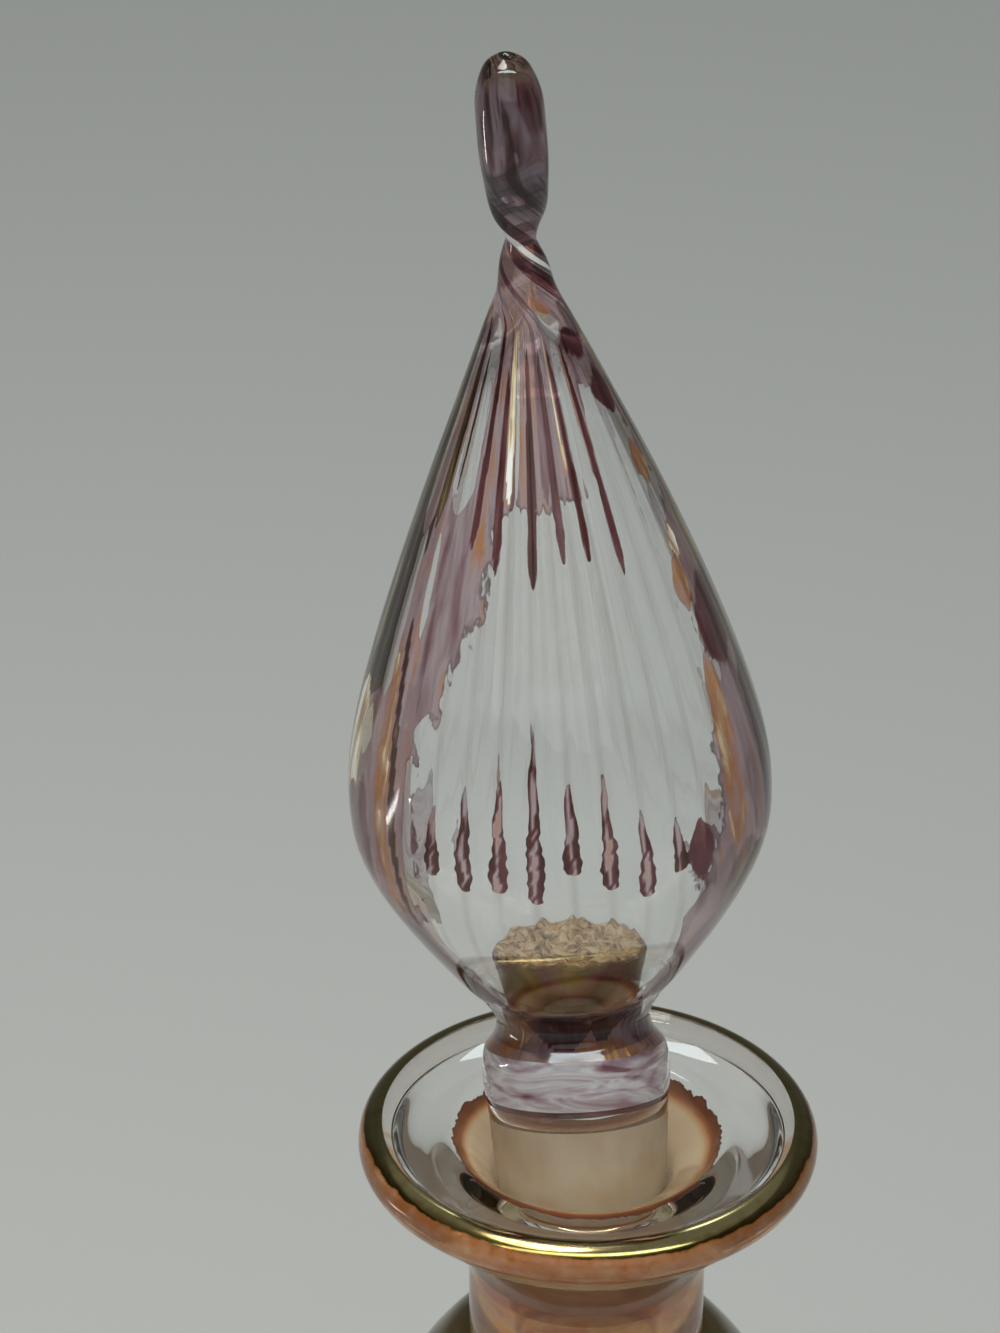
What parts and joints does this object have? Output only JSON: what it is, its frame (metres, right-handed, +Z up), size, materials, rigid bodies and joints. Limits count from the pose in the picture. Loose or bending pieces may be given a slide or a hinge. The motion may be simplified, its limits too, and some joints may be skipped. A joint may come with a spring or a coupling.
{
  "type": "perfume bottle",
  "caption": "Blown glass bottle on a stem and foot, with a flared gilded lip and a ribbed hollow flame stopper whose ground plug lifts out of the mouth.",
  "frame": {"origin": "centre of the foot's underside, on the surface the bottle stands on", "axes": "+Z up along the axis of the bottle's body; -X is the side that the stopper leans to; -Y is the side that the picture shows"},
  "size_m": [0.043, 0.043, 0.1751],
  "materials": {
    "amber_glass": "clear glass stained amber, glossy",
    "lilac_glass": "lilac tinted glass, glossy",
    "lustre_glass": "clear ribbed glass with patches of lilac, maroon and amber lustre",
    "clear_glass": "clear glass, glossy",
    "frosted_glass": "ground glass, matt",
    "core_glass": "dark amber glass with a rough broken top",
    "gilding": "fired gold lustre, bright"
  },
  "bodies": {
    "bottle": {"foot_disc": "amber_glass", "foot_gilding": "gilding", "stem_knop": "lilac_glass", "body_bulb": "lustre_glass", "neck_tube": "amber_glass", "mouth_lip": "clear_glass", "lip_gilding": "gilding"},
    "stopper": {"ground_plug": "frosted_glass", "stopper_collar": "lilac_glass", "waist_core": "core_glass", "stopper_flame": "lustre_glass", "stopper_finial": "lilac_glass"}
  },
  "joints": [
    {"name": "stopper_lift", "type": "slide", "parent": "bottle", "child": "stopper", "axis": [-0.0541, 0, 0.9985], "range_m": [0, 0.03]}
  ]
}
